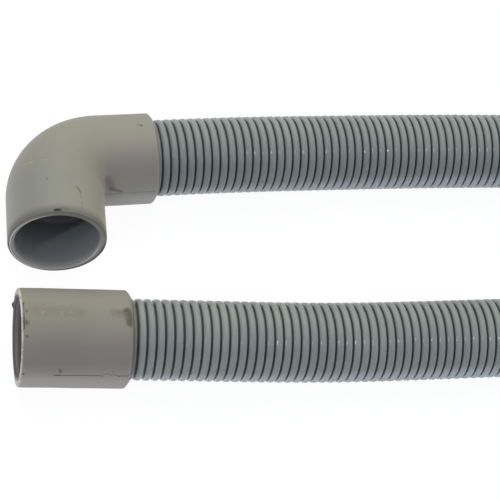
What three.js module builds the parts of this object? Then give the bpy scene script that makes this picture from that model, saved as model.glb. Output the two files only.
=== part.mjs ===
// Washing machine drain hose: one corrugated hose with a right-angled cuff moulded on one end and a straight
// cuff on the other. It lies on the floor, both ends side by side and the rest in one wide loop.
// Millimetres, +Z up, floor at z = 0, origin under the middle of the two cuffs.
import * as THREE from "three";
import { NURBSCurve } from "three/addons/curves/NURBSCurve.js";

// The hose. Its ribs are too fine for this model, so the tube has the diameter over the ribs.
const HOSE_DIAMETER = 27.2;
const HOSE_BORE = 22.8;
const HOSE_SIDES = 12;
const HOSE_STEPS = 76;

// What both cuffs share where they hold the hose
const SEAT_CLEARANCE = 0.3;
const SOCKET_DEPTH = 14;
const SOCKET_LIP = 0.5;
const BEVEL_FULLNESS = 1 / 3;

// The elbow cuff
const ELBOW_MOUTH_BORE = 29;
const ELBOW_MOUTH_WALL = 2.5;
const ELBOW_MOUTH_DEPTH = 19;
const ELBOW_THROAT = 24;
const ELBOW_SLEEVE_WALL = 2.15;
const ELBOW_MOUTH_LEG = 18.5;
const ELBOW_SLEEVE_LEG = 19.4;
const ELBOW_TURN = THREE.MathUtils.degToRad(84);
const ELBOW_BEND_RADIUS = 17.5;
const ELBOW_BEND_STEPS = 12;
const ELBOW_END_BEVEL = 1.9;

// The straight cuff
const STRAIGHT_LENGTH = 36.8;
const STRAIGHT_BORE = 28.4;
const STRAIGHT_WALL = 2.2;
const STRAIGHT_STOP_BORE = 24;
const STRAIGHT_STOP_WIDTH = 3;
const STRAIGHT_END_BEVEL = 2.6;

// The mouths' rims: a soft outer edge, a flat front and a short lead-in for the spigot
const RIM_EDGE = 0.35;
const RIM_EDGE_LENGTH = 1.4;
const RIM_LEAD = 0.45;
const RIM_LEAD_LENGTH = 1.4;

// Where the two cuffs lie, and the heading of the hose as it leaves them
const CUFFS_APART = 72.3;
const ELBOW_CORNER = [-7.9, 36.6];
const ELBOW_HEADING = THREE.MathUtils.degToRad(2.6);
const STRAIGHT_MOUTH = [-26.9, ELBOW_CORNER[1] - CUFFS_APART];
const STRAIGHT_HEADING = THREE.MathUtils.degToRad(-3.5);

// The hose's route from the elbow cuff to the straight one, between the stretches that the cuffs hold
const ROUTE = [
  [96, 41.5, 14.6],
  [136.5, 42.5, 13.6],
  [177, 41.5, 13.6],
  [227, 41.5, 13.6],
  [277, 41.5, 13.6],
  [338.5, 41.5, 13.6],
  [373, 41.4, 13.6],
  [407.6, 41.8, 13.6],
  [441.2, 51.7, 13.6],
  [470.2, 70.7, 13.6],
  [497.8, 91.8, 13.6],
  [531.2, 102.5, 13.6],
  [566.2, 101.4, 13.6],
  [598.8, 88.6, 13.6],
  [625.3, 65.6, 13.6],
  [642.5, 35, 13.6],
  [648.4, 0.5, 13.6],
  [642.5, -34, 13.6],
  [625.3, -64.6, 13.6],
  [598.8, -87.6, 13.6],
  [566.2, -100.4, 13.6],
  [531.2, -101.5, 13.6],
  [497.8, -90.8, 13.6],
  [470.2, -69.7, 13.6],
  [441.2, -50.7, 13.6],
  [407.6, -40.8, 13.6],
  [373, -40.4, 13.6],
  [338.5, -40.5, 13.6],
  [277, -40.5, 13.6],
  [227, -40.5, 13.6],
  [177, -40.5, 13.6],
  [118.5, -40.5, 13.6],
  [78, -41, 14.4],
];
const LEAVE_STRAIGHT = [14, 40];

const ROUND_SIDES = 48;
const CURVE_POINTS = 4;
const SPLINE_DEGREE = 3;

const hoseRadius = HOSE_DIAMETER / 2;
const socketRadius = hoseRadius + SEAT_CLEARANCE;
const elbowOuter = ELBOW_MOUTH_BORE / 2 + ELBOW_MOUTH_WALL;
const straightOuter = STRAIGHT_BORE / 2 + STRAIGHT_WALL;

const cuffRubber = new THREE.MeshStandardMaterial({ color: 0x96938a, roughness: 0.55, metalness: 0 });
const hosePlastic = new THREE.MeshStandardMaterial({ color: 0x7f898c, roughness: 0.5, metalness: 0 });

// Profiles are drawn as (radius, distance from the mouth), up the outside and back down the inside.
function rimStart(profile, boreRadius, outerRadius) {
  profile.moveTo(boreRadius + RIM_LEAD, 0);
  profile.lineTo(outerRadius - RIM_EDGE, 0);
  profile.quadraticCurveTo(outerRadius, 0, outerRadius, RIM_EDGE_LENGTH);
}

function rimEnd(profile, boreRadius) {
  profile.lineTo(boreRadius, RIM_LEAD_LENGTH);
  profile.quadraticCurveTo(boreRadius, 0, boreRadius + RIM_LEAD, 0);
}

function socket(profile, sleeveRadius, length, bevel, stopRadius) {
  profile.lineTo(sleeveRadius, length - bevel);
  profile.quadraticCurveTo(sleeveRadius, length - bevel * BEVEL_FULLNESS, socketRadius + SOCKET_LIP, length);
  profile.lineTo(socketRadius, length);
  profile.lineTo(socketRadius, length - SOCKET_DEPTH);
  profile.lineTo(stopRadius, length - SOCKET_DEPTH);
}

function elbowPath() {
  const bendLength = ELBOW_BEND_RADIUS * ELBOW_TURN;
  const toCorner = ELBOW_MOUTH_LEG + ELBOW_BEND_RADIUS * Math.tan(ELBOW_TURN / 2);
  const start = new THREE.Vector2(-toCorner * Math.cos(ELBOW_TURN), -toCorner * Math.sin(ELBOW_TURN));
  const length = ELBOW_MOUTH_LEG + bendLength + ELBOW_SLEEVE_LEG;

  // Point and heading of the centreline at a distance from the mouth, with the sleeve along +X
  function at(distance) {
    const turned = THREE.MathUtils.clamp((distance - ELBOW_MOUTH_LEG) / ELBOW_BEND_RADIUS, 0, ELBOW_TURN);
    const heading = ELBOW_TURN - turned;
    const inMouth = Math.min(distance, ELBOW_MOUTH_LEG);
    const inSleeve = Math.max(distance - ELBOW_MOUTH_LEG - bendLength, 0);
    const x = start.x + inMouth * Math.cos(ELBOW_TURN) + inSleeve
      + ELBOW_BEND_RADIUS * (Math.sin(ELBOW_TURN) - Math.sin(heading));
    const y = start.y + inMouth * Math.sin(ELBOW_TURN)
      + ELBOW_BEND_RADIUS * (Math.cos(heading) - Math.cos(ELBOW_TURN));
    return { x, y, heading };
  }
  return { at, length, bendLength };
}

// Adds a point to the profile at each station that one of its straight stretches passes.
function withStations(points, stations) {
  const result = [];
  for (let i = 0; i < points.length - 1; i++) {
    const [from, to] = [points[i], points[i + 1]];
    const passed = stations.filter((s) => (s - from.y) * (s - to.y) < 0);
    if (to.y < from.y) passed.reverse();
    result.push(from);
    for (const s of passed) result.push(from.clone().lerp(to, (s - from.y) / (to.y - from.y)));
  }
  result.push(points.at(-1));
  return result;
}

// Bends a lathe about the Y axis so that Y follows the path in the XY plane and the lathe's Z stays up.
function bendAlong(geometry, path) {
  const position = geometry.getAttribute("position");
  for (let i = 0; i < position.count; i++) {
    const { x, y, heading } = path.at(position.getY(i));
    const aside = position.getX(i);
    position.setXYZ(i, x + aside * Math.sin(heading), y - aside * Math.cos(heading), position.getZ(i));
  }
  return geometry;
}

function elbowCuff() {
  const path = elbowPath();
  const boreRadius = ELBOW_MOUTH_BORE / 2;
  const throatRadius = ELBOW_THROAT / 2;
  const sleeveRadius = socketRadius + ELBOW_SLEEVE_WALL;
  const bendEnd = ELBOW_MOUTH_LEG + path.bendLength;
  const profile = new THREE.Path();
  rimStart(profile, boreRadius, elbowOuter);
  profile.lineTo(elbowOuter, ELBOW_MOUTH_LEG);
  profile.lineTo(sleeveRadius, bendEnd);
  socket(profile, sleeveRadius, path.length, ELBOW_END_BEVEL, throatRadius);
  profile.lineTo(throatRadius, ELBOW_MOUTH_DEPTH + boreRadius - throatRadius);
  profile.lineTo(boreRadius, ELBOW_MOUTH_DEPTH);
  rimEnd(profile, boreRadius);

  const stations = [];
  for (let i = 0; i <= ELBOW_BEND_STEPS; i++) {
    stations.push(ELBOW_MOUTH_LEG + (i / ELBOW_BEND_STEPS) * path.bendLength);
  }
  const points = withStations(profile.getPoints(CURVE_POINTS), stations);
  const mesh = new THREE.Mesh(bendAlong(new THREE.LatheGeometry(points, ROUND_SIDES), path), cuffRubber);
  mesh.name = "elbow_cuff";
  mesh.position.set(...ELBOW_CORNER, elbowOuter);
  mesh.rotation.z = ELBOW_HEADING;
  return mesh;
}

function straightCuff() {
  const boreRadius = STRAIGHT_BORE / 2;
  const stopRadius = STRAIGHT_STOP_BORE / 2;
  const stopEnd = STRAIGHT_LENGTH - SOCKET_DEPTH - STRAIGHT_STOP_WIDTH;
  const profile = new THREE.Path();
  rimStart(profile, boreRadius, straightOuter);
  socket(profile, straightOuter, STRAIGHT_LENGTH, STRAIGHT_END_BEVEL, stopRadius);
  profile.lineTo(stopRadius, stopEnd);
  profile.lineTo(boreRadius, stopEnd);
  rimEnd(profile, boreRadius);

  const geometry = new THREE.LatheGeometry(profile.getPoints(CURVE_POINTS), ROUND_SIDES);
  geometry.rotateZ(-Math.PI / 2);
  const mesh = new THREE.Mesh(geometry, cuffRubber);
  mesh.name = "straight_cuff";
  mesh.position.set(...STRAIGHT_MOUTH, straightOuter);
  mesh.rotation.z = STRAIGHT_HEADING;
  return mesh;
}

// The hose's first points: its end against the stop in a cuff's socket, then straight out along the cuff's axis
function leaveCuff(origin, heading, height, reach) {
  return [0, ...LEAVE_STRAIGHT].map((distance) => {
    const out = reach - SOCKET_DEPTH + SEAT_CLEARANCE + distance;
    return [origin[0] + out * Math.cos(heading), origin[1] + out * Math.sin(heading), height];
  });
}

function hoseCurve() {
  const elbowReach = ELBOW_SLEEVE_LEG + ELBOW_BEND_RADIUS * Math.tan(ELBOW_TURN / 2);
  const route = [
    ...leaveCuff(ELBOW_CORNER, ELBOW_HEADING, elbowOuter, elbowReach),
    ...ROUTE,
    ...leaveCuff(STRAIGHT_MOUTH, STRAIGHT_HEADING, straightOuter, STRAIGHT_LENGTH).reverse(),
  ];
  const spans = route.length - SPLINE_DEGREE;
  const knots = route.map((_, i) => THREE.MathUtils.clamp(i - SPLINE_DEGREE, 0, spans));
  knots.push(...new Array(SPLINE_DEGREE + 1).fill(spans));
  const weighted = route.map(([x, y, z]) => new THREE.Vector4(x, y, z, 1));
  return new NURBSCurve(SPLINE_DEGREE, knots, weighted);
}

function drainHose() {
  const corner = (radius) => (_, i) => {
    const angle = (i / HOSE_SIDES) * 2 * Math.PI;
    return new THREE.Vector2(radius * Math.cos(angle), radius * Math.sin(angle));
  };
  const section = new THREE.Shape(Array.from({ length: HOSE_SIDES }, corner(hoseRadius)));
  section.holes.push(new THREE.Path(Array.from({ length: HOSE_SIDES }, corner(HOSE_BORE / 2))));
  const geometry = new THREE.ExtrudeGeometry(section, { steps: HOSE_STEPS, extrudePath: hoseCurve() });
  const mesh = new THREE.Mesh(geometry, hosePlastic);
  mesh.name = "drain_hose";
  return mesh;
}

const drainHoseAssembly = new THREE.Group();
drainHoseAssembly.add(elbowCuff(), drainHose(), straightCuff());

export default drainHoseAssembly;
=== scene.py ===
# %% [markdown]
# # A washing machine drain hose
# The hose lies on a white table in one wide loop, with its two rubber ends side by side near the
# camera. The imported model gives every place and size in metres, so the finer pieces made here take the
# same numbers.

# %% Load the model
import math

import bpy
import numpy as np
from mathutils import Matrix, Vector
from mathutils.bvhtree import BVHTree
from mathutils.noise import noise


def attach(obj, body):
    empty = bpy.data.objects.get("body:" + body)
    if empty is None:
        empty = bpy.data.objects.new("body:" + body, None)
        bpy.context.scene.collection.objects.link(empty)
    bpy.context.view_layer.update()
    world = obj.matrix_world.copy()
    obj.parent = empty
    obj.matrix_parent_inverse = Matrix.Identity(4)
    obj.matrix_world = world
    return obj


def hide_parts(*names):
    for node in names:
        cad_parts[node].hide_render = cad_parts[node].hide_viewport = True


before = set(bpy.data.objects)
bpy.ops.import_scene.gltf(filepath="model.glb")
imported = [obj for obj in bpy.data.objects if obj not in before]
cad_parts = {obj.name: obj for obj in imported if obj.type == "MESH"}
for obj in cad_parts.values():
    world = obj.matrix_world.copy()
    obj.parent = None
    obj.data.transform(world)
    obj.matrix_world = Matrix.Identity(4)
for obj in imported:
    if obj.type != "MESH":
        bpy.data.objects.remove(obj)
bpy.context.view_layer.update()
MM = 0.001

# %% [markdown]
# ## The camera
# The picture was taken from the front left and well above, through a long lens and slightly tilted. A
# camera can be turned by three angles or by three directions. Three directions are used, because they
# also say which ray each point of the picture stands for, and the marks on the rubber are placed with
# that later on.

# %% Set up the camera
CAMERA_PLACE = Vector((-0.11143, -0.42909, 0.60071))
CAMERA_RIGHT = Vector((0.9738, -0.1527, 0.1686)).normalized()
CAMERA_BACK = Vector((-0.2263, -0.5744, 0.7867)).normalized()
CAMERA_UP = CAMERA_BACK.cross(CAMERA_RIGHT).normalized()
PICTURE_SIDE = 500
SENSOR_WIDTH = 36
FOCAL_PIXELS = 2148.85

camera_data = bpy.data.cameras.new("camera")
camera_data.sensor_width = SENSOR_WIDTH
camera_data.lens = FOCAL_PIXELS * SENSOR_WIDTH / PICTURE_SIDE
camera = bpy.data.objects.new("camera", camera_data)
turn = Matrix((CAMERA_RIGHT, CAMERA_UP, CAMERA_BACK)).transposed()
camera.matrix_world = Matrix.Translation(CAMERA_PLACE) @ turn.to_4x4()
bpy.context.scene.collection.objects.link(camera)
bpy.context.scene.camera = camera
print("lens", round(camera_data.lens, 1), "mm, looking down by",
      round(math.degrees(math.asin(CAMERA_BACK.z)), 1), "degrees")


# %% [markdown]
# ## Sums on sockets
# Both the hose's shape and the finishes need sums on node sockets. Adding each Math node by hand hides
# the formula, so a small class wraps a socket and turns Python's own operators into nodes. Numbers that
# are known beforehand are worked out in Python, and every other kind of node comes from one method that
# takes its settings before its sockets.

# %% Wrap a socket so that it can be added and multiplied
class Wire:
    def __init__(self, graph, socket):
        self.graph = graph
        self.socket = socket

    def math(self, operation, *values):
        sockets = dict(enumerate(values))
        return self.graph.node("ShaderNodeMath", {"operation": operation}, sockets)

    def __add__(self, other):
        return self.math("ADD", self, other)

    def __sub__(self, other):
        return self.math("SUBTRACT", self, other)

    def __rsub__(self, other):
        return self.math("SUBTRACT", other, self)

    def __mul__(self, other):
        return self.math("MULTIPLY", self, other)

    def __truediv__(self, other):
        return self.math("DIVIDE", self, other)

    def __rtruediv__(self, other):
        return self.math("DIVIDE", other, self)

    __radd__ = __add__
    __rmul__ = __mul__

    def floor(self):
        return self.math("FLOOR", self)

    def fraction(self):
        return self.math("FRACT", self)

    def size(self):
        return self.math("ABSOLUTE", self)

    def most(self, other):
        return self.math("MAXIMUM", self, other)

    def least(self, other):
        return self.math("MINIMUM", self, other)

    def rise(self, low, high):
        sockets = {"Value": self, "From Min": low, "From Max": high}
        return self.graph.node("ShaderNodeMapRange", {"interpolation_type": "SMOOTHSTEP"}, sockets)

    def fall(self, low, high):
        return 1 - self.rise(low, high)


class Graph:
    def __init__(self, tree):
        self.tree = tree

    def node(self, kind, settings=None, sockets=None, out=0):
        made = self.tree.nodes.new(kind)
        for name, value in (settings or {}).items():
            setattr(made, name, value)
        for name, value in (sockets or {}).items():
            self.feed(made.inputs[name], value)
        return Wire(self, made.outputs[out])

    def feed(self, socket, value):
        if isinstance(value, Wire):
            self.tree.links.new(value.socket, socket)
        else:
            socket.default_value = value


print("sockets can now be added, multiplied and compared")

# %% [markdown]
# ## The hose's route
# A real hose takes smooth curves of its own stiffness. It could be drawn with Bezier handles or
# simulated as a rope. Here it follows the same control points as the model, as a NURBS curve of the
# same order with its ends clamped, so the visible hose lies exactly where the model's plain tube lies.

# %% Lay out the route and measure it
ELBOW_CORNER = (-7.9, 36.6, 17.0)
ELBOW_HEADING = math.radians(2.6)
ELBOW_TURN = math.radians(84)
ELBOW_BEND_RADIUS = 17.5
ELBOW_SLEEVE_LEG = 19.4
STRAIGHT_MOUTH = (-26.9, -35.7, 16.4)
STRAIGHT_HEADING = math.radians(-3.5)
STRAIGHT_LENGTH = 36.8
SOCKET_DEPTH = 14
SEAT_CLEARANCE = 0.3
LEAVE_STRAIGHT = (0, 14, 40)
ROUTE = [
    (96, 41.5, 14.6), (136.5, 42.5, 13.6), (177, 41.5, 13.6), (227, 41.5, 13.6), (277, 41.5, 13.6),
    (338.5, 41.5, 13.6), (373, 41.4, 13.6), (407.6, 41.8, 13.6), (441.2, 51.7, 13.6),
    (470.2, 70.7, 13.6), (497.8, 91.8, 13.6), (531.2, 102.5, 13.6), (566.2, 101.4, 13.6),
    (598.8, 88.6, 13.6), (625.3, 65.6, 13.6), (642.5, 35, 13.6), (648.4, 0.5, 13.6),
    (642.5, -34, 13.6), (625.3, -64.6, 13.6), (598.8, -87.6, 13.6), (566.2, -100.4, 13.6),
    (531.2, -101.5, 13.6), (497.8, -90.8, 13.6), (470.2, -69.7, 13.6), (441.2, -50.7, 13.6),
    (407.6, -40.8, 13.6), (373, -40.4, 13.6), (338.5, -40.5, 13.6), (277, -40.5, 13.6),
    (227, -40.5, 13.6), (177, -40.5, 13.6), (118.5, -40.5, 13.6), (78, -41, 14.4),
]
ROUTE_ORDER = 4
STEPS_PER_POINT = 48


def leave_cuff(origin, heading, reach):
    points = []
    for distance in LEAVE_STRAIGHT:
        out = reach - SOCKET_DEPTH + SEAT_CLEARANCE + distance
        x, y = origin[0] + out * math.cos(heading), origin[1] + out * math.sin(heading)
        points.append((x, y, origin[2]))
    return points


elbow_reach = ELBOW_SLEEVE_LEG + ELBOW_BEND_RADIUS * math.tan(ELBOW_TURN / 2)
controls = leave_cuff(ELBOW_CORNER, ELBOW_HEADING, elbow_reach) + ROUTE
controls += leave_cuff(STRAIGHT_MOUTH, STRAIGHT_HEADING, STRAIGHT_LENGTH)[::-1]

route_data = bpy.data.curves.new("hose_route", "CURVE")
route_data.dimensions = "3D"
route_data.resolution_u = STEPS_PER_POINT
spline = route_data.splines.new("NURBS")
spline.points.add(len(controls) - 1)
for point, (x, y, z) in zip(spline.points, controls):
    point.co = (x * MM, y * MM, z * MM, 1)
spline.order_u = ROUTE_ORDER
spline.use_endpoint_u = True
route = bpy.data.objects.new("hose_route", route_data)
bpy.context.scene.collection.objects.link(route)

wire_mesh = bpy.data.meshes.new_from_object(route)
centreline = np.array([v.co for v in wire_mesh.vertices])
bpy.data.meshes.remove(wire_mesh)
steps = np.linalg.norm(np.diff(centreline, axis=0), axis=1)
hose_length = float(steps.sum())
print(len(centreline), "points on the route,", round(hose_length, 4), "m long")

# %% [markdown]
# ## The ribbed hose
# A drain hose is blown into a ring-shaped mould, so its ribs are separate rings and no thread: flat
# outside, with a narrow groove between each two. An Array of one rib bent by a Curve modifier would do,
# but it squeezes the ribs in the bends. A node tree is used, because it can put each ring of points at
# its own distance along the route. Eight stations make one rib, and two small tables give their place
# and their radius. The hose is cut off in a groove at both ends. Near the straight end it was pulled
# while it was made, so its ribs stand wider apart there by a share that dies away from rib to rib.

# %% Write the rule that turns the route into ribs
RIB_PLACES = (0.0, 0.075, 0.115, 0.2, 0.5, 0.8, 0.885, 0.925)
RIB_DEPTHS = (1.0, 1.0, 0.4, 0.1, 0.0, 0.1, 0.4, 1.0)
RIB_TOP = 0.5
END_STEP = 0.12 * MM
CLOSING_RINGS = 2
WELD_DISTANCE = 0.02 * MM
ROUNDING_HELP = 0.001
tree = bpy.data.node_groups.new("ribbed hose", "GeometryNodeTree")
INPUTS = (
    ("Route", "NodeSocketGeometry"), ("Rib radius", "NodeSocketFloat"),
    ("Groove radius", "NodeSocketFloat"), ("Bore radius", "NodeSocketFloat"), ("Ribs", "NodeSocketInt"),
    ("Sides", "NodeSocketInt"), ("End stretch", "NodeSocketFloat"),
    ("Stretched ribs", "NodeSocketFloat"), ("Bore steps", "NodeSocketInt"),
    ("Plastic", "NodeSocketMaterial"),
)
hose_inputs = {}
for name, kind in INPUTS:
    hose_inputs[name] = tree.interface.new_socket(name=name, in_out="INPUT", socket_type=kind).identifier
tree.interface.new_socket(name="Hose", in_out="OUTPUT", socket_type="NodeSocketGeometry")
g = Graph(tree)
group_input = tree.nodes.new("NodeGroupInput")
given = {name: Wire(g, group_input.outputs[name]) for name in hose_inputs}


def from_table(values, index):
    switch = tree.nodes.new("GeometryNodeIndexSwitch")
    switch.data_type = "FLOAT"
    while len(switch.index_switch_items) < len(values):
        switch.index_switch_items.new()
    for place, value in enumerate(values):
        switch.inputs[str(place)].default_value = value
    g.feed(switch.inputs["Index"], index)
    return Wire(g, switch.outputs[0])


stations = given["Ribs"] * len(RIB_PLACES)
index = g.node("GeometryNodeInputIndex")
inner_index = (index - 1).most(0).least(stations)
rib = (inner_index / len(RIB_PLACES) + ROUNDING_HELP).floor()
station = inner_index - rib * len(RIB_PLACES)
rib_count = rib + from_table(RIB_PLACES, station)
length = g.node("GeometryNodeCurveLength", sockets={"Curve": given["Route"]})
pull = given["End stretch"] * given["Stretched ribs"]
pitch = length / (given["Ribs"] + pull)
left_over = (given["Ribs"] - rib_count) / given["Stretched ribs"]
distance = pitch * (rib_count + pull * left_over.math("EXPONENT", 0 - left_over))
at_start = index.math("LESS_THAN", index, 0.5)
at_end = index.math("GREATER_THAN", index, stations + 1.5)
distance = (distance + END_STEP * (1 - at_start)).least(length - END_STEP * (1 - at_end))
groove = given["Rib radius"] - given["Groove radius"]
outer_radius = given["Rib radius"] - groove * from_table(RIB_DEPTHS, station)
outer_radius = outer_radius - (at_start + at_end) * (outer_radius - given["Bore radius"])
print("one rib takes", len(RIB_PLACES), "rings of points")


# %% Turn the rings into one closed wall
def tube(count, at_distance, radius, number):
    line = g.node("GeometryNodeResampleCurve", {"mode": "COUNT"}, {"Curve": given["Route"], "Count": count})
    place = g.node("GeometryNodeSampleCurve", {"mode": "LENGTH"},
                   {"Curves": given["Route"], "Length": at_distance}, out="Position")
    line = g.node("GeometryNodeSetPosition", sockets={"Geometry": line, "Position": place})
    line = g.node("GeometryNodeStoreNamedAttribute", {"data_type": "FLOAT", "domain": "POINT"},
                  {"Geometry": line, "Name": "rib_count", "Value": number})
    line = g.node("GeometryNodeSetCurveNormal", {"mode": "Z_UP"}, {"Curve": line})
    ring = g.node("GeometryNodeCurvePrimitiveCircle", {"mode": "RADIUS"},
                  {"Resolution": given["Sides"], "Radius": 1.0})
    return g.node("GeometryNodeCurveToMesh",
                  sockets={"Curve": line, "Profile Curve": ring, "Scale": radius})


outside = tube(stations + (1 + CLOSING_RINGS), distance, outer_radius, rib_count)
bore_distance = index * (length / (given["Bore steps"] - 1))
inside = tube(given["Bore steps"], bore_distance, given["Bore radius"], RIB_TOP)
inside = g.node("GeometryNodeFlipFaces", sockets={"Mesh": inside})
both = tree.nodes.new("GeometryNodeJoinGeometry")
for part in (outside, inside):
    tree.links.new(part.socket, both.inputs[0])
wall = Wire(g, both.outputs[0])
wall = g.node("GeometryNodeMergeByDistance", sockets={"Geometry": wall, "Distance": WELD_DISTANCE})
wall = g.node("GeometryNodeRealizeInstances", sockets={"Geometry": wall})
wall = g.node("GeometryNodeSetMaterial", sockets={"Geometry": wall, "Material": given["Plastic"]})
group_output = tree.nodes.new("NodeGroupOutput")
tree.links.new(wall.socket, group_output.inputs[0])
print("the rule has", len(tree.nodes), "nodes")

# %% Run the rule and keep its mesh
HOSE_DIAMETER = 27.2
GROOVE_RADIUS = 12.35
BORE_RADIUS = 11.4
RIB_PITCH = 2.94
hose_plastic = bpy.data.materials.new("hose_plastic")
ribs = round(hose_length / (RIB_PITCH * MM))
modifier = route.modifiers.new("ribs", "NODES")
modifier.node_group = tree
HOSE_VALUES = {
    "Rib radius": HOSE_DIAMETER / 2 * MM, "Groove radius": GROOVE_RADIUS * MM,
    "Bore radius": BORE_RADIUS * MM, "Ribs": ribs, "Sides": 24, "End stretch": 0.035,
    "Stretched ribs": 40.0, "Bore steps": 160, "Plastic": hose_plastic,
}
for name, value in HOSE_VALUES.items():
    modifier[hose_inputs[name]] = value
evaluated = route.evaluated_get(bpy.context.evaluated_depsgraph_get())
hose_mesh = bpy.data.meshes.new_from_object(evaluated)
hose_mesh.name = "ribbed_hose"
route.modifiers.remove(modifier)
bpy.data.objects.remove(route)
hose = bpy.data.objects.new("ribbed_hose", hose_mesh)
bpy.context.scene.collection.objects.link(hose)


def signed_volume(mesh):
    mesh.calc_loop_triangles()
    points = np.array([v.co for v in mesh.vertices])
    corners = points[np.array([t.vertices for t in mesh.loop_triangles])]
    return float(np.einsum("ij,ij->i", corners[:, 0], np.cross(corners[:, 1], corners[:, 2])).sum() / 6)


def open_edges(mesh):
    used = {}
    for face in mesh.polygons:
        for key in face.edge_keys:
            used[key] = used.get(key, 0) + 1
    return sum(1 for count in used.values() if count != 2)


if signed_volume(hose_mesh) < 0:
    hose_mesh.flip_normals()
hose_mesh.shade_smooth()
print(ribs, "ribs,", len(hose_mesh.loop_triangles), "triangles,", open_edges(hose_mesh), "open edges,",
      round(signed_volume(hose_mesh) * 1e6, 1), "cubic centimetres")

# %% [markdown]
# ## The shape of the two cuffs
# Both ends are moulded rubber: a rounded rim, a mouth that is flared for the spigot, a stop inside and
# a sleeve around the hose. They could be cylinders with bevels, but then the elbow's bend has to be
# joined to them. Instead one profile of radius against distance from the mouth runs up the outside and
# back down the inside, and is swept around a path. The straight cuff's path is a line, and the elbow's
# path is two lines with an arc between them.

# %% Sweep a profile around a path
def arc_between(start, control, end, count):
    result = []
    for t in np.linspace(0, 1, count + 1):
        point = [(1 - t) ** 2 * a + 2 * t * (1 - t) * b + t * t * c for a, b, c in zip(start, control, end)]
        result.append(tuple(point))
    return result


def fill_gaps(profile, longest):
    result = []
    for (r0, s0), (r1, s1) in zip(profile, profile[1:] + profile[:1]):
        parts = max(1, math.ceil(math.hypot(r1 - r0, s1 - s0) / longest))
        result += [(r0 + (r1 - r0) * i / parts, s0 + (s1 - s0) * i / parts) for i in range(parts)]
    return result


def swept(name, profile, path, origin, heading, sides):
    turn_cos, turn_sin = math.cos(heading), math.sin(heading)
    vertices = []
    for radius, along in profile:
        x, y, direction = path(along)
        for side in range(sides):
            angle = 2 * math.pi * side / sides
            aside = radius * math.sin(angle)
            px = x + aside * math.sin(direction)
            py = y - aside * math.cos(direction)
            vertices.append(((origin[0] + px * turn_cos - py * turn_sin) * MM,
                             (origin[1] + px * turn_sin + py * turn_cos) * MM,
                             (origin[2] + radius * math.cos(angle)) * MM))
    faces = []
    rings = len(profile)
    for ring in range(rings):
        here, after = ring * sides, (ring + 1) % rings * sides
        for side in range(sides):
            beside = (side + 1) % sides
            faces.append((here + side, after + side, after + beside, here + beside))
    mesh = bpy.data.meshes.new(name)
    mesh.from_pydata(vertices, [], faces)
    mesh.update()
    if signed_volume(mesh) < 0:
        mesh.flip_normals()
    mesh.shade_smooth()
    made = bpy.data.objects.new(name, mesh)
    bpy.context.scene.collection.objects.link(made)
    return made


CUFF_SIDES = 144
RING_SPACING = 0.8
RIM_ROUND = 1.4
RIM_EDGE = 0.35
RIM_LEAD = 0.45
SLEEVE_LIP = 0.45
BEVEL_FULLNESS = 0.62
ROUND_STEPS = 8
LEAD_STEPS = 6


def cuff_profile(bore, outside, throat, sleeve, body, total, step_at, bevel):
    socket = HOSE_DIAMETER / 2 + SEAT_CLEARANCE
    points = arc_between((outside - RIM_EDGE, 0), (outside, 0), (outside, RIM_ROUND), ROUND_STEPS)
    points += body
    points += arc_between((sleeve, total - bevel), (sleeve, total - bevel * BEVEL_FULLNESS),
                          (socket + SLEEVE_LIP, total), ROUND_STEPS)
    points += [(socket, total), (socket, total - SOCKET_DEPTH), (throat, total - SOCKET_DEPTH)]
    points += step_at
    points += arc_between((bore, RIM_ROUND), (bore, 0), (bore + RIM_LEAD, 0), LEAD_STEPS)
    return points


print("a cuff's profile goes up the outside and back down the inside")


# %% Store where on the cuff each ring of points lies
BORE_BLEND = (0.2, 2.4)
DEEP_SHADE_BLEND = (9, 21)
SHADED_LIP_BLEND = (1.2, 3.6)
END_BLEND = (0.9, 0.3)
RIM_WIDTH = 0.9
EDGE_WIDTH = 0.25


def share(value, low, high):
    return min(max((value - low) / (high - low), 0), 1)


def describe(piece, profile, bore, outside, total):
    end_low, end_high = total - END_BLEND[0], total - END_BLEND[1]
    rings = {"bore": [share(s, *BORE_BLEND) * (r < bore + 0.3) for r, s in profile],
             "deep_shade": [share(s, *DEEP_SHADE_BLEND) * (r < bore + 0.1) for r, s in profile],
             "rim": [s < RIM_WIDTH and r < outside - 0.05 for r, s in profile],
             "edge": [s < EDGE_WIDTH and r > outside - 1 for r, s in profile],
             "shaded_lip": [(1 - share(s, *SHADED_LIP_BLEND)) * (r > outside - 0.4) for r, s in profile],
             "end": [share(s, end_low, end_high) for r, s in profile]}
    for name, values in rings.items():
        attribute = piece.data.attributes.new(name, "FLOAT", "POINT")
        attribute.data.foreach_set("value", np.repeat(np.array(values, np.float32), CUFF_SIDES))


print("each ring of points on a cuff can now say where it lies")

# %% [markdown]
# ## The elbow cuff
# The elbow turns the hose through a right angle, so that it can hook into the drain. Its mouth leg is a
# little wider than its sleeve, and the inside of the bend is almost a sharp corner. Two bent tubes with
# a Boolean for the bore would do too, but its cuts leave ragged faces. The path is worked out from the
# bend's radius and angle, as in the model, and the profile gets its rings less than a millimetre apart,
# so that the bend is smooth.

# %% Make the elbow cuff
ELBOW_MOUTH_LEG = 18.5
ELBOW_OUTSIDE = 17.0
ELBOW_BORE = 14.5
ELBOW_THROAT = 12.0
ELBOW_SLEEVE = 16.05
ELBOW_MOUTH_DEPTH = 19.0
ELBOW_BEVEL = 1.5
bend_length = ELBOW_BEND_RADIUS * ELBOW_TURN
elbow_length = ELBOW_MOUTH_LEG + bend_length + ELBOW_SLEEVE_LEG
mouth_reach = ELBOW_MOUTH_LEG + ELBOW_BEND_RADIUS * math.tan(ELBOW_TURN / 2)


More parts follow.
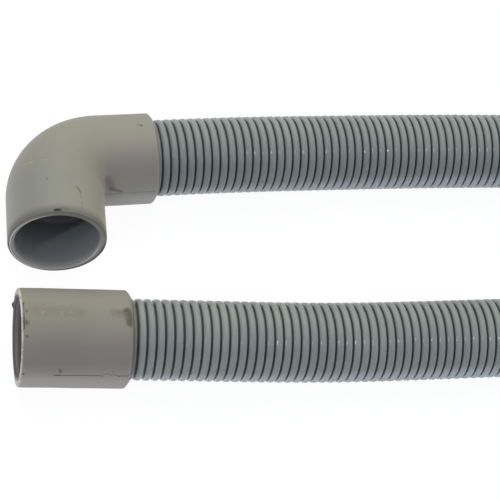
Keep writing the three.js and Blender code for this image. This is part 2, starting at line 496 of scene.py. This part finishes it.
def elbow_path(along):
    turned = min(max((along - ELBOW_MOUTH_LEG) / ELBOW_BEND_RADIUS, 0), ELBOW_TURN)
    direction = ELBOW_TURN - turned
    in_mouth = min(along, ELBOW_MOUTH_LEG)
    in_sleeve = max(along - ELBOW_MOUTH_LEG - bend_length, 0)
    x = (in_mouth - mouth_reach) * math.cos(ELBOW_TURN) + in_sleeve
    x += ELBOW_BEND_RADIUS * (math.sin(ELBOW_TURN) - math.sin(direction))
    y = (in_mouth - mouth_reach) * math.sin(ELBOW_TURN)
    y += ELBOW_BEND_RADIUS * (math.cos(direction) - math.cos(ELBOW_TURN))
    return x, y, direction


elbow_profile = cuff_profile(
    ELBOW_BORE, ELBOW_OUTSIDE, ELBOW_THROAT, ELBOW_SLEEVE,
    [(ELBOW_OUTSIDE, ELBOW_MOUTH_LEG), (ELBOW_SLEEVE, ELBOW_MOUTH_LEG + bend_length)], elbow_length,
    [(ELBOW_THROAT, ELBOW_MOUTH_DEPTH + ELBOW_BORE - ELBOW_THROAT), (ELBOW_BORE, ELBOW_MOUTH_DEPTH)],
    ELBOW_BEVEL)
elbow_rings = fill_gaps(elbow_profile, RING_SPACING)
elbow = swept("elbow_cuff_moulding", elbow_rings, elbow_path, ELBOW_CORNER, ELBOW_HEADING, CUFF_SIDES)
describe(elbow, elbow_rings, ELBOW_BORE, ELBOW_OUTSIDE, elbow_length)
mouth_heading = ELBOW_TURN + ELBOW_HEADING
elbow_mouth = Vector((ELBOW_CORNER[0] - mouth_reach * math.cos(mouth_heading),
                      ELBOW_CORNER[1] - mouth_reach * math.sin(mouth_heading), ELBOW_CORNER[2]))
print("elbow:", len(elbow.data.polygons) * 2, "triangles,", open_edges(elbow.data), "open edges")

# %% [markdown]
# ## The straight cuff
# The straight end is a plain sleeve with a thick far edge where the rubber closes on the hose. A
# bevelled cylinder would give the outline, but not the mouth, the stop and the socket inside, so it
# uses the same sweep as the elbow. Its mouth wasn't cut quite square, so the path leans over a little
# in its first few millimetres.

# %% Make the straight cuff
STRAIGHT_OUTSIDE = 16.4
STRAIGHT_BORE = 14.2
STRAIGHT_THROAT = 12.0
STOP_WIDTH = 3
STRAIGHT_BEVEL = 1.95
MOUTH_SLANT = math.radians(1.5)
SLANT_REACH = 5
SLANT_HINGE = 0.44
stop_face = STRAIGHT_LENGTH - SOCKET_DEPTH - STOP_WIDTH
straight_profile = cuff_profile(
    STRAIGHT_BORE, STRAIGHT_OUTSIDE, STRAIGHT_THROAT, STRAIGHT_OUTSIDE, [], STRAIGHT_LENGTH,
    [(STRAIGHT_THROAT, stop_face), (STRAIGHT_BORE, stop_face)], STRAIGHT_BEVEL)


def straight_path(along):
    slanted = MOUTH_SLANT * max(1 - along / SLANT_REACH, 0)
    return along - SLANT_HINGE * STRAIGHT_OUTSIDE * slanted, 0, slanted


straight_rings = fill_gaps(straight_profile, RING_SPACING)
straight = swept("straight_cuff_moulding", straight_rings, straight_path, STRAIGHT_MOUTH,
                 STRAIGHT_HEADING, CUFF_SIDES)
describe(straight, straight_rings, STRAIGHT_BORE, STRAIGHT_OUTSIDE, STRAIGHT_LENGTH)
print("straight cuff:", len(straight.data.polygons) * 2, "triangles,",
      open_edges(straight.data), "open edges")

# %% [markdown]
# ## Places on the rubber
# Used rubber is recognised by its marks, and each has its place. Rather than guessing coordinates, a
# ray from the camera through a point of the picture is followed to where it meets the piece. The mark's
# place is then a point on the surface, so it stays there when another camera looks at it.

# %% Follow a ray from the camera to a piece
GATE_MARK = (140, 125)
trees = {}


def place_on(piece, across, down):
    if piece.name not in trees:
        trees[piece.name] = BVHTree.FromObject(piece, bpy.context.evaluated_depsgraph_get())
    half = PICTURE_SIDE / 2
    ray = CAMERA_RIGHT * (across - half) - CAMERA_UP * (down - half) - CAMERA_BACK * FOCAL_PIXELS
    hit = trees[piece.name].ray_cast(CAMERA_PLACE, ray.normalized())[0]
    if hit is None:
        raise ValueError(f"no {piece.name} at {across}, {down}")
    return hit


print("the elbow's gate mark is at", [round(v / MM, 1) for v in place_on(elbow, *GATE_MARK)], "mm")

# %% [markdown]
# ## Unevenness of moulded rubber
# Rubber shrinks a little unevenly as it cools, so a highlight along it is never quite straight. A noise
# that moves each point in by up to a tenth of a millimetre along its normal gives that, in the bore as
# well. It could be a Displace modifier too, but a few lines on the points keep the mesh plain. The
# small nub that sticks out of the straight cuff's rim is then pulled from the same points.

# %% Let the rubber shrink a little unevenly
SHRINKAGE = 0.12
ELBOW_WAVE = 11
STRAIGHT_WAVE = 9
NUB_ANGLE = math.radians(103)
NUB_RADIUS = 16.1
NUB_SET_OUT = 0.2
NUB_SIZE = 1.6
NUB_REACH = 0.75
NUB_DIRECTION = Vector((-1, 0.2, 0.1)).normalized()


def shrink(piece, spacing):
    mesh = piece.data
    normals = [v.normal.copy() for v in mesh.vertices]
    moves = [(1 - noise(v.co / (spacing * MM))) / 2 * SHRINKAGE for v in mesh.vertices]
    for vertex, normal, move in zip(mesh.vertices, normals, moves):
        vertex.co -= normal * move * MM
    mesh.update()
    return round(max(moves), 3)


def pull_out(piece, middle, along, size, reach):
    moved = 0
    for vertex in piece.data.vertices:
        near = max(1 - ((vertex.co - middle).length / (size * MM)) ** 2, 0)
        vertex.co += along * near * reach * MM
        moved += near > 0
    piece.data.update()
    return moved


nub = Vector((STRAIGHT_MOUTH[0] - NUB_SET_OUT,
              STRAIGHT_MOUTH[1] + NUB_RADIUS * math.sin(NUB_ANGLE),
              STRAIGHT_MOUTH[2] + NUB_RADIUS * math.cos(NUB_ANGLE))) * MM
print("moved in by up to", shrink(elbow, ELBOW_WAVE), "and", shrink(straight, STRAIGHT_WAVE), "mm")
print("the nub takes", pull_out(straight, nub, NUB_DIRECTION, NUB_SIZE, NUB_REACH), "points")
trees.clear()


# %% [markdown]
# ## Finishes
# Three finishes are needed: the rubber of each cuff and the plastic of the hose. All are opaque and
# satin. A Principled shader serves for each, and only its colour, roughness and bump change over the
# surface. Marks are distances to a point or to a short line, turned into soft-edged masks and mixed
# over the clean colour.

# %% Write the helpers for finishes
def linear(red, green, blue):
    values = [v / 255 for v in (red, green, blue)]
    return [v / 12.92 if v <= 0.04045 else ((v + 0.055) / 1.055) ** 2.4 for v in values] + [1.0]


class Finish(Graph):
    def __init__(self, material, colours):
        material.use_nodes = True
        super().__init__(material.node_tree)
        self.tree.nodes.clear()
        self.shader = self.tree.nodes.new("ShaderNodeBsdfPrincipled")
        output = self.tree.nodes.new("ShaderNodeOutputMaterial")
        self.tree.links.new(self.shader.outputs[0], output.inputs["Surface"])
        self.place = self.node("ShaderNodeTexCoord", out="Object")
        self.colours = {name: linear(*colour) for name, colour in colours.items()}

    def noise(self, scale, detail):
        values = {"Vector": self.place, "Scale": scale, "Detail": detail}
        return self.node("ShaderNodeTexNoise", sockets=values)

    def mix(self, amount, first, second):
        settings = {"data_type": "RGBA", "blend_type": "MIX"}
        return self.node("ShaderNodeMix", settings, {0: amount, 6: first, 7: second}, out=2)

    def coat(self, amount, under, name):
        return self.mix(amount, under, self.colours[name])

    def vector(self, operation, first, second, out="Vector"):
        return self.node("ShaderNodeVectorMath", {"operation": operation}, {0: first, 1: second}, out)

    def part(self, axis):
        return self.node("ShaderNodeSeparateXYZ", sockets={0: self.place}, out=axis) / MM

    def own(self, name):
        return self.node("ShaderNodeAttribute", {"attribute_name": name}, out="Fac")

    def far_from(self, point):
        return self.vector("DISTANCE", self.place, tuple(point), "Value") / MM

    def within(self, away, reach, soft):
        return away.fall(reach * (1 - soft), reach * (1 + soft))

    def spot(self, point, radius, soft):
        return self.within(self.far_from(point), radius, soft)

    def stroke(self, start, end, width, soft):
        run = end - start
        offset = self.vector("SUBTRACT", self.place, tuple(start))
        along = self.vector("DOT_PRODUCT", offset, tuple(run / run.length_squared), "Value")
        scaled = {0: tuple(run), "Scale": along.most(0).least(1)}
        nearest = self.node("ShaderNodeVectorMath", {"operation": "SCALE"}, scaled)
        return self.within(self.vector("DISTANCE", offset, nearest, "Value") / MM, width / 2, soft)

    def soil(self, piece, marks, colour, marked, breaks=1.0):
        for _, start, end, width, soft, tint, strength in marks:
            first = place_on(piece, *start)
            if end:
                mask = self.stroke(first, place_on(piece, *end), width, soft)
            else:
                mask = self.spot(first, width / 2, soft)
            mask = mask * strength * breaks
            colour = self.mix(mask, colour, linear(*tint))
            marked = marked.most(mask)
        return colour, marked

    def finish(self, colour, roughness, height, bump_mm):
        bump = {"Strength": 1.0, "Distance": bump_mm * MM, "Height": height}
        normal = self.node("ShaderNodeBump", sockets=bump)
        for name, value in (("Base Color", colour), ("Roughness", roughness), ("Normal", normal)):
            self.feed(self.shader.inputs[name], value)


def names_of(marks):
    return ", ".join(dict.fromkeys(mark[0] for mark in marks))


print("the finishes share one set of helpers")

# %% [markdown]
# ## The hose's plastic
# The plastic is a cool grey polypropylene, a little different from rib to rib. Below its middle it is
# painted lighter as bounce light from the white table, and a painted shade darkens its lower part a
# little more the further it is from the cuffs. The grooves are darkened by dirt and by painted shade,
# the ribs' shoulders are smoother than their tops, and the last ribs before the straight cuff are
# darkened by grime and by painted shade. A wave along one coordinate would draw stripes on a straight
# hose only. The number of each rib was stored with its points instead, so the finish knows where in a
# rib it is in the bends too.

# %% Finish the hose
HOSE_COLOURS = {
    "grey": (143, 150, 150), "pale": (152, 158, 156), "odd rib": (136, 144, 146),
    "shade": (112, 120, 124), "table_bounce": (184, 194, 199), "groove": (50, 56, 60), "grime_and_shade": (74, 70, 68),
}
GROOVE_STARTS = 0.36
GROOVE_FULL = 0.41
GRIME_AND_SHADE_RIBS = 5.2
plastic = Finish(hose_plastic, HOSE_COLOURS)
rib_number = plastic.own("rib_count")
from_middle = (rib_number.fraction() - 0.5).size()
groove_dirt_and_shade = from_middle.rise(GROOVE_STARTS, GROOVE_FULL)
shoulder = from_middle.rise(0.2, 0.26) * from_middle.fall(GROOVE_STARTS, 0.4)
# the last ribs, going into the straight cuff, are darkened partly as grime and partly as painted shade
grime_and_shade = rib_number.rise(ribs - GRIME_AND_SHADE_RIBS - 0.1, ribs - GRIME_AND_SHADE_RIBS + 0.1)
rib_seed = {"W": rib_number.floor()}
per_rib = plastic.node("ShaderNodeTexWhiteNoise", {"noise_dimensions": "1D"}, rib_seed)
cloud = plastic.noise(45, 4)
grain = plastic.noise(900, 2)
hose_middle = ROUTE[1][2]
height = plastic.part("Z")
# painted bounce light: below its middle the hose is painted lighter, as light from the white table would
# make it
table_bounce_mask = height.fall(hose_middle - 1.5, hose_middle + 4.5)
shaded = height.fall(18, 24) * plastic.part("X").rise(30, 180)
colour = plastic.coat(cloud.rise(0.35, 0.65), plastic.colours["grey"], "pale")
colour = plastic.coat(per_rib * 0.25, colour, "odd rib")
colour = plastic.coat(shaded * 0.35, colour, "shade")
colour = plastic.coat(table_bounce_mask, colour, "table_bounce")
# the grooves are darkened partly as dirt and partly as painted shade
colour = plastic.coat(groove_dirt_and_shade * 0.88, colour, "groove")
colour = plastic.coat(grime_and_shade * 0.45, colour, "grime_and_shade")
roughness = 0.46 - groove_dirt_and_shade * 0.1 - shoulder * 0.3 + (grain - 0.5) * 0.1
plastic.finish(colour, roughness, grain * 0.6 + cloud * 0.8, 0.05)
print("the dark part of each groove is",
      round((1 - GROOVE_STARTS - GROOVE_FULL) * RIB_PITCH, 2), "mm wide")

# %% [markdown]
# ## The elbow's rubber
# The elbow is a warm, slightly yellowed grey and a cooler grey inside, and its sleeve's side gets a
# cooler painted shade tint. It carries the fine seam of its mould a little above half height, a gate mark
# on the sleeve, a nick on the rim with a stain beside it, a few scuffs and painted shade in the crotch of
# the bend. Painting these on a picture would need the piece unwrapped.
# Here each mark is one row of a table: its name, where it starts and ends in the camera's picture, its
# width in millimetres, how soft its edge is, its colour and its strength.

# %% List the elbow's colours and marks
ELBOW_COLOURS = {
    "grey": (151, 151, 142), "pale": (157, 154, 143), "sleeve": (152, 149, 146), "table_bounce": (202, 200, 197),
    "seam": (84, 80, 80), "shaded_lip": (108, 104, 103), "rim": (122, 120, 117), "edge": (62, 60, 58),
    "bore": (140, 144, 147), "deep_shade": (84, 86, 88), "rim_highlight": (236, 236, 230), "end": (100, 98, 92),
}
ELBOW_MARKS = (
    ("nick", (55.4, 210), (60.2, 209.8), 1.1, 0.5, (50, 47, 28), 1.0),
    ("stain", (62.5, 209), (66, 209.4), 1.4, 0.9, (118, 114, 88), 0.6),
    ("scuff", (77.5, 187.5), (80.5, 192), 0.8, 0.9, (112, 110, 98), 0.7),
    ("scratch", (80.5, 193), (81, 198), 0.5, 0.9, (126, 122, 108), 0.5),
    ("scratch", (82, 202), (82, 209), 0.5, 0.9, (120, 116, 104), 0.5),
    ("dot", (47, 179), None, 0.7, 0.8, (112, 107, 94), 0.7),
    ("gate", (138, 125), GATE_MARK, 1.0, 0.9, (120, 116, 98), 0.5),
    ("gate", (141.5, 125.5), None, 0.9, 0.8, (96, 92, 70), 0.7),
    ("scratch", (22.5, 166), (31, 162), 0.35, 0.9, (186, 186, 180), 0.4),
    ("scratch", (31, 162), (47, 159.5), 0.35, 0.9, (186, 186, 180), 0.4),
    # painted shade: the next two rows darken the crotch of the bend, where the mouth leg meets the sleeve
    ("crotch_shade", (108, 180), (111, 188), 2.6, 0.9, (112, 98, 96), 0.5),
    ("crotch_shade", (111, 189), (121, 191.5), 1.0, 0.9, (98, 88, 88), 0.6),
)
ELBOW_SEAM_RISE = 1.5
RIM_HIGHLIGHT_RADIUS = 15.25
RIM_HIGHLIGHT_OFFSET = Vector((0.75, 0, 0.6))
print(len(ELBOW_MARKS), "marks on the elbow:", names_of(ELBOW_MARKS))

# %% Finish the elbow's outside
elbow_material = bpy.data.materials.new("elbow_rubber")
rubber = Finish(elbow_material, ELBOW_COLOURS)
cloud = rubber.noise(38, 4)
grain = rubber.noise(700, 3)
height = rubber.part("Z")
side = rubber.part("X")
above_seam = height - (ELBOW_CORNER[2] + ELBOW_SEAM_RISE)
on_sleeve = side.rise(6, 9)
seam = above_seam.size().fall(0.05, 0.3) * on_sleeve
# painted shade tint: below its top the sleeve's side is painted cooler, where the mouth leg meets the
# sleeve
sleeve_shade_tint = side.rise(7.5, 9.5) * height.fall(30.5, 33)
# painted bounce light: below the seam, and more on the sleeve, the rubber is painted lighter, as light from
# the white table would make it
table_bounce_mask = above_seam.fall(-3, 12) * 0.5 + above_seam.fall(-5, 0.3) * on_sleeve * 0.5
# painted shade: above the seam, the rounded outside of the rim is painted darker
shaded_lip = rubber.own("shaded_lip") * above_seam.rise(-4, 5)
colour = rubber.coat(cloud.rise(0.35, 0.65), rubber.colours["grey"], "pale")
colour = rubber.coat(sleeve_shade_tint * 0.85, colour, "sleeve")
colour = rubber.coat(table_bounce_mask, colour, "table_bounce")
colour = rubber.coat(seam * 0.45, colour, "seam")
colour = rubber.coat(shaded_lip * 0.75, colour, "shaded_lip")
colour, marked = rubber.soil(elbow, ELBOW_MARKS, colour, seam * 0.5)
print("the seam runs", ELBOW_CORNER[2] + ELBOW_SEAM_RISE, "mm above the table")

# %% Finish the elbow's mouth
rim = rubber.own("rim")
# painted highlight: a thin bright line is painted around the rim's crest
rim_highlight_middle = (elbow_mouth - RIM_HIGHLIGHT_OFFSET) * MM
rim_highlight = (rubber.far_from(rim_highlight_middle) - RIM_HIGHLIGHT_RADIUS).size().fall(0.08, 0.3) * rim
rim_highlight = rim_highlight * (0.45 + side.fall(-18, -4) * 0.5)
# painted shade: on its lower half the rim's outer edge is painted dark, where it turns down
edge = rubber.own("edge") * above_seam.fall(-5, 1)
# painted shade: the front face of the mouth's rim is painted a little darker
colour = rubber.coat(rim * 0.3, colour, "rim")
colour = rubber.coat(edge * 0.8, colour, "edge")
colour = rubber.coat(rubber.own("bore") * 0.9, colour, "bore")
# painted shade: further into the bore the rubber is painted darker
colour = rubber.coat(rubber.own("deep_shade") * 0.5, colour, "deep_shade")
colour = rubber.coat(rim_highlight, colour, "rim_highlight")
# painted shade: the sleeve's end, where the hose goes in, is painted darker
colour = rubber.coat(rubber.own("end") * 0.5, colour, "end")
roughness = 0.6 + (grain - 0.5) * 0.14 + marked * 0.2
rubber.finish(colour, roughness, grain * 0.35 + cloud * 0.6 - marked * 0.9, 0.12)
elbow.data.materials.append(elbow_material)
print("the elbow's finish has", len(rubber.tree.nodes), "nodes")

# %% [markdown]
# ## The straight cuff's rubber
# The straight cuff is the dirtier one. A brown film has dried on its upper side, the rim has picked up
# specks, and the mould's seam runs along it a little above half height with a rough bit of flash near
# the hose. The marks use the same kind of table as the elbow's. A fine noise breaks them up, because
# dried dirt is never an even coat.

# %% List the straight cuff's colours and marks
STRAIGHT_COLOURS = {
    "grey": (141, 138, 133), "yellowed": (145, 141, 130), "pale": (153, 149, 142), "table_bounce": (202, 193, 191),
    "seam": (72, 66, 64), "sparkle": (176, 170, 158), "far rim": (92, 91, 88), "near rim": (222, 216, 208),
    "bore": (92, 93, 92), "end": (92, 88, 84), "nub": (48, 44, 42),
}
STRAIGHT_MARKS = (
    ("film", (36, 310), (80, 312), 3.6, 0.9, (126, 120, 106), 0.45),
    ("smudge", (114, 312.5), (126, 314), 2.6, 0.8, (118, 109, 100), 0.55),
    ("smudge", (127.5, 311), (130.5, 323), 2.6, 0.6, (88, 79, 72), 0.8),
    ("dash", (55, 375.2), (60, 375.2), 0.4, 0.7, (50, 46, 46), 0.8),
    ("speck", (59.6, 369.3), (59.8, 372.6), 0.45, 0.8, (78, 72, 70), 0.8),
    ("speck", (61.4, 371.3), None, 0.9, 0.8, (84, 78, 76), 0.6),
    ("spot", (20.5, 373.4), (23.5, 374.2), 0.6, 0.6, (46, 40, 38), 0.95),
    ("rim", (23.3, 303), (24, 318), 0.5, 0.6, (66, 56, 46), 1.0),
    ("rim", (24, 318), (23.8, 329), 0.5, 0.6, (60, 52, 44), 1.0),
    ("rim", (26.5, 311), None, 1.0, 0.8, (96, 88, 74), 0.8),
    ("rim", (26, 322.5), None, 1.8, 0.9, (92, 86, 78), 0.7),
    ("rim", (27, 336.5), None, 0.9, 0.8, (92, 88, 82), 0.7),
)
SPARKLING_FILM = ((40, 311), (72, 314))
SPARKLE_WIDTH = 3.4
SEAM_DOWN = 374
SEAM_STARTS, FLASH_STARTS, FLASH_ENDS = 52, 104, 117
STRAIGHT_SEAM_RISE = 2.45
FLASH_ROUGHNESS = 9.0
NUB_STAIN = 1.7
FAR_SIDE_TURN = math.radians(36)
print(len(STRAIGHT_MARKS), "marks on the straight cuff:", names_of(STRAIGHT_MARKS))

# %% Finish the straight cuff's outside
straight_material = bpy.data.materials.new("straight_rubber")
rubber = Finish(straight_material, STRAIGHT_COLOURS)
cloud = rubber.noise(42, 4)
grain = rubber.noise(700, 3)
speckle = rubber.noise(520, 3)
height = rubber.part("Z")
along = rubber.part("X")
seam_from, flash_from, flash_to = [place_on(straight, across, SEAM_DOWN)[0] / MM
                                   for across in (SEAM_STARTS, FLASH_STARTS, FLASH_ENDS)]
ragged = along.rise(flash_from - 1, flash_from) * along.fall(flash_to, flash_to + 1)
rough_edge = (rubber.noise(420, 3) - 0.5) * (0.15 + ragged * FLASH_ROUGHNESS)
above_seam = height - (STRAIGHT_MOUTH[2] + STRAIGHT_SEAM_RISE)
seam = (above_seam + rough_edge).size().fall(0.08, 0.34) * along.rise(seam_from - 0.5, seam_from + 1)
colour = rubber.coat(height.rise(28, 31.5), rubber.colours["grey"], "yellowed")
colour = rubber.coat(cloud.rise(0.3, 0.7) * 0.4, colour, "pale")
# painted bounce light: below the seam the rubber is painted lighter, as light from the white table would
# make it
colour = rubber.coat(above_seam.fall(-5, 5) * 0.7, colour, "table_bounce")
colour = rubber.coat(seam * 0.7, colour, "seam")
broken = 0.72 + 0.35 * speckle.rise(0.4, 0.6)
colour, marked = rubber.soil(straight, STRAIGHT_MARKS, colour, seam * 0.5, broken)
film_from, film_to = [place_on(straight, *point) for point in SPARKLING_FILM]
sparkle = speckle.rise(0.57, 0.62) * rubber.stroke(film_from, film_to, SPARKLE_WIDTH, 0.5)
colour = rubber.coat(sparkle * 0.35, colour, "sparkle")
print("the rough flash is", round(flash_to - flash_from, 1), "mm long")

# %% Finish the straight cuff's mouth
rim = rubber.own("rim")
# painted shade: the back and lower part of the rim's face, far from the camera, is painted darker
backwards = (rubber.part("Y") - STRAIGHT_MOUTH[1]) * math.sin(FAR_SIDE_TURN)
upwards = (height - STRAIGHT_MOUTH[2]) * math.cos(FAR_SIDE_TURN)
far_rim_shade = (backwards - upwards).rise(2, 7)
# painted highlight: the rim's face and outer edge on the near side are painted bright
bright_edge = rim.most(rubber.own("edge") * 0.6) * (0.5 + 0.6 * speckle.rise(0.38, 0.5))
near_rim_highlight = bright_edge.least(1) * (1 - far_rim_shade)
colour = rubber.coat(rim * far_rim_shade * 0.8, colour, "far rim")
colour = rubber.coat(near_rim_highlight, colour, "near rim")
# painted shade: inside the bore the rubber is painted dark
colour = rubber.coat(rubber.own("bore") * 0.92, colour, "bore")
# painted shade: the sleeve's end, where the hose goes in, is painted darker
colour = rubber.coat(rubber.own("end") * 0.55, colour, "end")
colour = rubber.coat(rubber.spot(nub, NUB_STAIN, 0.2) * 0.95, colour, "nub")
roughness = 0.6 + (grain - 0.5) * 0.14 + marked * 0.25
rubber.finish(colour, roughness, grain * 0.4 + cloud * 0.6 + seam * 0.8 - marked * 0.4, 0.14)
straight.data.materials.append(straight_material)
print("the straight cuff's finish has", len(rubber.tree.nodes), "nodes")

# %% [markdown]
# ## Table and light
# The hose was photographed on white in soft light from above and behind. Less comes from the front and
# the sides. Two hard lamps are added: one from the back right brightens the elbow's flank, and one from
# the front left throws the rim's shadow into the elbow's mouth. Area lamps would fade along the loop.
# Sun lamps are used, because they light the whole loop evenly, and a wide angle makes them as soft as a
# large box. The table returns light to the undersides like white paper. Where the camera sees it,
# straight or in a reflection, it is mixed with a plain white, so the background is white and the shadow
# stays.

# %% Make the white table
TABLE_REACH = 6.0
PAPER_WHITE = (0.88, 0.91, 0.97, 1)
SEEN_SHARE = 0.9
SEEN_STRENGTH = 1.05
table_mesh = bpy.data.meshes.new("table")
corners = [(TABLE_REACH * x, TABLE_REACH * y, 0) for x, y in ((-1, -1), (1, -1), (1, 1), (-1, 1))]
table_mesh.from_pydata(corners, [], [(0, 1, 2, 3)])
table = bpy.data.objects.new("table", table_mesh)
bpy.context.scene.collection.objects.link(table)
table_material = bpy.data.materials.new("white_table")
table_material.use_nodes = True
paper = Graph(table_material.node_tree)
paper.tree.nodes.clear()
seen = paper.node("ShaderNodeLightPath", out="Is Camera Ray")
seen = seen.most(paper.node("ShaderNodeLightPath", out="Is Glossy Ray"))
seen = seen.most(paper.node("ShaderNodeLightPath", out="Is Transmission Ray"))
diffuse = paper.node("ShaderNodeBsdfDiffuse", sockets={"Color": PAPER_WHITE})
glow = {"Color": (1, 1, 1, 1), "Strength": SEEN_STRENGTH}
plain_white = paper.node("ShaderNodeEmission", sockets=glow)
mixed = paper.node("ShaderNodeMixShader", sockets={0: seen * SEEN_SHARE, 1: diffuse, 2: plain_white})
output = table_material.node_tree.nodes.new("ShaderNodeOutputMaterial")
paper.feed(output.inputs["Surface"], mixed)
table_mesh.materials.append(table_material)
print("the table reaches", TABLE_REACH, "m each way")


# %% Light it
def sun(name, towards_azimuth, elevation, strength, colour, angle):
    lamp = bpy.data.lights.new(name, "SUN")
    lamp.energy = strength * math.pi
    lamp.color = colour
    lamp.angle = math.radians(angle)
    made = bpy.data.objects.new(name, lamp)
    azimuth, height = math.radians(towards_azimuth), math.radians(elevation)
    level = math.cos(height)
    towards = Vector((level * math.cos(azimuth), level * math.sin(azimuth), math.sin(height)))
    made.rotation_euler = towards.to_track_quat("Z", "Y").to_euler()
    bpy.context.scene.collection.objects.link(made)


LAMPS = (
    ("overhead", 80, 62, 0.33, (0.99, 1.0, 0.86), 60),
    ("flank", 28, 38, 0.07, (1.0, 1.0, 0.94), 4),
    ("back", 85, 25, 0.20, (0.95, 1.0, 0.97), 60),
    ("front", 265, 70, 0.19, (0.93, 0.97, 1.1), 60),
    ("right", 0, 25, 0.16, (1.1, 1.0, 0.76), 60),
    ("left", 185, 8, 0.15, (1.03, 1.0, 1.06), 40),
    ("mouth", 216, 41, 0.1, (0.97, 1.0, 1.03), 1.2),
)
ROOM_COLOUR = (1.0, 1.0, 1.06, 1)
ROOM_STRENGTH = 0.12
for lamp in LAMPS:
    sun(*lamp)
world = bpy.data.worlds.new("room")
bpy.context.scene.world = world
world.use_nodes = True
background = world.node_tree.nodes["Background"]
background.inputs["Color"].default_value = ROOM_COLOUR
background.inputs["Strength"].default_value = ROOM_STRENGTH
bpy.context.scene.view_settings.view_transform = "Standard"
print(len(LAMPS), "lamps and a dim room")

# %% [markdown]
# ## Replacing the model's pieces
# Each finer piece takes the place of the model's plain one and rides on the same body.

# %% Ride and replace
for piece, node, slot in ((elbow, "elbow_cuff", "cuff_rubber"), (hose, "drain_hose", "hose_plastic"),
                          (straight, "straight_cuff", "cuff_rubber")):
    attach(piece, "root")
    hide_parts(node)
